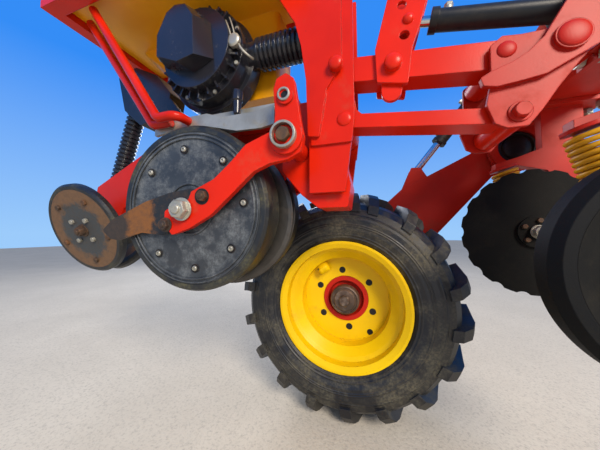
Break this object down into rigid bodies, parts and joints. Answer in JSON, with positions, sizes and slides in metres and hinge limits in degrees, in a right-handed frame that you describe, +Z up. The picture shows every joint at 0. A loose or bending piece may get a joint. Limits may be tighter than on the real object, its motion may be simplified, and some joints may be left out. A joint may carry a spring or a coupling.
{
  "type": "precision planter row section",
  "caption": "Planting row of a precision planter: row unit on a parallel linkage, support wheel on a trailing leg and fertiliser coulters under a square bar.",
  "frame": {"origin": "centre of the outer face of the bar's end flange", "axes": "+X forward in the direction of travel, +Y out of the end flange, towards the machine's middle, +Z up"},
  "size_m": [1.7127, 0.842, 1.6223],
  "materials": {
    "frame_red": "gloss paint, worn and dusty",
    "arm_red": "gloss paint, worn and dusty",
    "rim_yellow": "gloss paint",
    "zinc_steel": "zinc plated, dull",
    "disc_steel": "bare and soil polished",
    "rusty_steel": "rusted",
    "cylinder_black": "satin paint, dusty",
    "rod_chrome": "polished",
    "spring_yellow": "gloss paint",
    "tyre_rubber": "black rubber with soil dust",
    "tread_rubber": "black rubber with soil dust",
    "cover_grey": "scuffed black plastic",
    "meter_black": "black moulded plastic",
    "hopper_yellow": "rotomoulded plastic"
  },
  "bodies": {
    "frame": {"toolbar": "frame_red", "row_head": "frame_red", "leg_bracket": "frame_red", "u_bolts": "zinc_steel", "coulter_hangers": "frame_red", "coulter_arms": "frame_red", "coulter_springs": "spring_yellow"},
    "coulter_wheel": {"coulter_tyre": "tread_rubber", "coulter_wheel": "disc_steel"},
    "coulter_disc": {"coulter_disc": "disc_steel"},
    "wheel_leg": {"wheel_leg": "frame_red", "wheel_spindle": "rusty_steel"},
    "support_wheel": {"support_tyre": "tyre_rubber", "support_rim": "rim_yellow", "support_hub": "frame_red"},
    "jack_barrel": {"jack_barrel": "cylinder_black"},
    "jack_rod": {"jack_rod": "rod_chrome"},
    "upper_arm": {"upper_arm": "arm_red", "lift_straps": "arm_red"},
    "lower_arm": {"lower_arm": "arm_red"},
    "lift_barrel": {"lift_barrel": "cylinder_black"},
    "lift_rod": {"lift_rod": "rod_chrome"},
    "row_unit": {"row_frame": "arm_red", "opener_shank": "frame_red", "gauge_arms": "arm_red", "scrapers": "rusty_steel", "closing_arm": "arm_red", "seed_meter": "meter_black", "meter_cover": "meter_black", "meter_bracket": "zinc_steel", "air_hose": "meter_black", "rear_elbow": "meter_black", "hopper_rails": "arm_red", "hopper": "hopper_yellow", "hopper_struts": "arm_red"},
    "hopper_lid": {"hopper_lid": "hopper_yellow"},
    "gauge_wheel_near": {"gauge_tyre_near": "tread_rubber", "gauge_cover_near": "cover_grey"},
    "gauge_wheel_far": {"gauge_tyre_far": "tread_rubber", "gauge_cover_far": "cover_grey"},
    "opener_disc_near": {"opener_disc_near": "disc_steel"},
    "opener_disc_far": {"opener_disc_far": "disc_steel"},
    "closing_wheel_near": {"closing_tyre_near": "tread_rubber", "closing_disc_near": "rusty_steel"},
    "closing_wheel_far": {"closing_tyre_far": "tread_rubber", "closing_disc_far": "rusty_steel"}
  },
  "joints": [
    {"name": "leg_pivot", "type": "hinge", "parent": "frame", "child": "wheel_leg", "pos_m": [-0.05, -0.129, -0.158], "axis": [0, 1, 0], "range_deg": [-3, 24]},
    {"name": "support_wheel_spin", "type": "hinge", "parent": "wheel_leg", "child": "support_wheel", "pos_m": [-0.64, -0.334, -0.703], "axis": [0, 1, 0], "continuous": true},
    {"name": "jack_swing", "type": "hinge", "parent": "frame", "child": "jack_barrel", "pos_m": [-0.13, -0.129, 0.105], "axis": [0, 1, 0], "range_deg": [-4, 18]},
    {"name": "jack_slide", "type": "slide", "parent": "jack_barrel", "child": "jack_rod", "axis": [-0.6102, 0, -0.7923], "range_m": [-0.105, 0.016]},
    {"name": "lower_arm_pivot", "type": "hinge", "parent": "frame", "child": "lower_arm", "pos_m": [-0.292, -0.64, -0.253], "axis": [0, -1, 0], "range_deg": [-4, 20]},
    {"name": "upper_arm_pivot", "type": "hinge", "parent": "frame", "child": "upper_arm", "pos_m": [-0.308, -0.64, -0.137], "axis": [0, -1, 0], "range_deg": [-5, 21]},
    {"name": "row_unit_pivot", "type": "hinge", "parent": "lower_arm", "child": "row_unit", "pos_m": [-0.596, -0.64, -0.218], "axis": [0, -1, 0], "range_deg": [-21, 5]},
    {"name": "lift_swing", "type": "hinge", "parent": "frame", "child": "lift_barrel", "pos_m": [-0.2, -0.676, -0.063], "axis": [0, -1, 0], "range_deg": [-4, 14]},
    {"name": "lift_slide", "type": "slide", "parent": "lift_barrel", "child": "lift_rod", "axis": [-0.982, 0, 0.1888], "range_m": [-0.008, 0.032]},
    {"name": "lid_hinge", "type": "hinge", "parent": "row_unit", "child": "hopper_lid", "pos_m": [-1.065, -0.426, 0.5253], "axis": [-1, 0, 0], "range_deg": [0, 100]},
    {"name": "gauge_spin_near", "type": "hinge", "parent": "row_unit", "child": "gauge_wheel_near", "pos_m": [-0.955, -0.767, -0.408], "axis": [-0.0696, 0.9956, 0.0628], "continuous": true},
    {"name": "gauge_spin_far", "type": "hinge", "parent": "row_unit", "child": "gauge_wheel_far", "pos_m": [-0.955, -0.513, -0.408], "axis": [-0.0696, -0.9956, 0.0628], "continuous": true},
    {"name": "opener_spin_near", "type": "hinge", "parent": "row_unit", "child": "opener_disc_near", "pos_m": [-0.925, -0.663, -0.415], "axis": [-0.0696, 0.9956, 0.0628], "continuous": true},
    {"name": "opener_spin_far", "type": "hinge", "parent": "row_unit", "child": "opener_disc_far", "pos_m": [-0.925, -0.617, -0.415], "axis": [-0.0696, -0.9956, 0.0628], "continuous": true},
    {"name": "closing_spin_near", "type": "hinge", "parent": "row_unit", "child": "closing_wheel_near", "pos_m": [-1.422, -0.72, -0.457], "axis": [-0.041, 0.9388, 0.342], "continuous": true},
    {"name": "closing_spin_far", "type": "hinge", "parent": "row_unit", "child": "closing_wheel_far", "pos_m": [-1.422, -0.56, -0.457], "axis": [-0.041, -0.9388, 0.342], "continuous": true},
    {"name": "coulter_wheel_spin", "type": "hinge", "parent": "frame", "child": "coulter_wheel", "pos_m": [-0.057, -0.683, -0.524], "axis": [0, 1, 0], "continuous": true},
    {"name": "coulter_disc_spin", "type": "hinge", "parent": "frame", "child": "coulter_disc", "pos_m": [-0.087, -0.3465, -0.462], "axis": [0, 1, 0], "continuous": true}
  ],
  "couplings": [
    {"joint": "jack_swing", "follows": "leg_pivot", "ratio": 0.63},
    {"joint": "jack_slide", "follows": "leg_pivot", "m_per_rad": -0.24064},
    {"joint": "upper_arm_pivot", "follows": "lower_arm_pivot", "ratio": 1},
    {"joint": "row_unit_pivot", "follows": "lower_arm_pivot", "ratio": -1},
    {"joint": "lift_swing", "follows": "lower_arm_pivot", "ratio": 0.645},
    {"joint": "lift_slide", "follows": "lower_arm_pivot", "m_per_rad": 0.081646}
  ]
}
